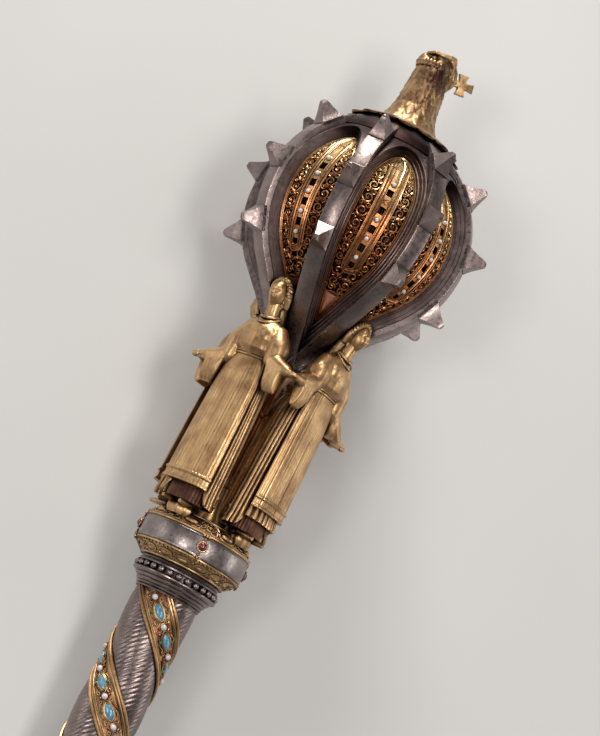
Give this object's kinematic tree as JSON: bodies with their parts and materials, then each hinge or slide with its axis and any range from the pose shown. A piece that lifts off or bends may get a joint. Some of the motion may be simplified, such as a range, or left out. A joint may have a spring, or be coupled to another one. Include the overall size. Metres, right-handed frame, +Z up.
{
  "type": "sceptre",
  "caption": "Mace-type ceremonial sceptre in gold and silver: twisted grip, knop, women in long skirts, studded pear-shaped head and an eagle on top.",
  "frame": {"origin": "bottom centre of the bounding box of the sceptre as it lies on a table", "axes": "+X towards the eagle's head, +Z up, away from the table; the grip end is at -X and lies lower than the head end"},
  "size_m": [0.431, 0.0938, 0.0928],
  "materials": {
    "gold": "chased gold with dark patina in the hollows",
    "filigree_gold": "pierced gold wirework",
    "silver": "aged mauve-grey silver, satin",
    "garnet": "polished dark red cabochon"
  },
  "bodies": {
    "root": {"grip": "gold", "grip_silver_strip_1": "silver", "grip_silver_strip_2": "silver", "upper_collar": "silver", "lower_collar": "silver", "pommel": "gold", "knop": "gold", "knop_silver_band": "silver", "stem": "gold", "knop_garnet_1": "garnet", "knop_garnet_2": "garnet", "knop_garnet_3": "garnet", "knop_garnet_4": "garnet", "figure_1": "gold", "figure_2": "gold", "figure_3": "gold", "figure_4": "gold", "mace_head_frame": "silver", "filigree_panel_1": "filigree_gold", "filigree_panel_2": "filigree_gold", "filigree_panel_3": "filigree_gold", "filigree_panel_4": "filigree_gold", "filigree_panel_5": "filigree_gold", "filigree_panel_6": "filigree_gold", "filigree_panel_7": "filigree_gold", "filigree_panel_8": "filigree_gold", "mace_head_cap": "gold", "eagle": "gold", "beak_cross": "gold"}
  },
  "joints": []
}
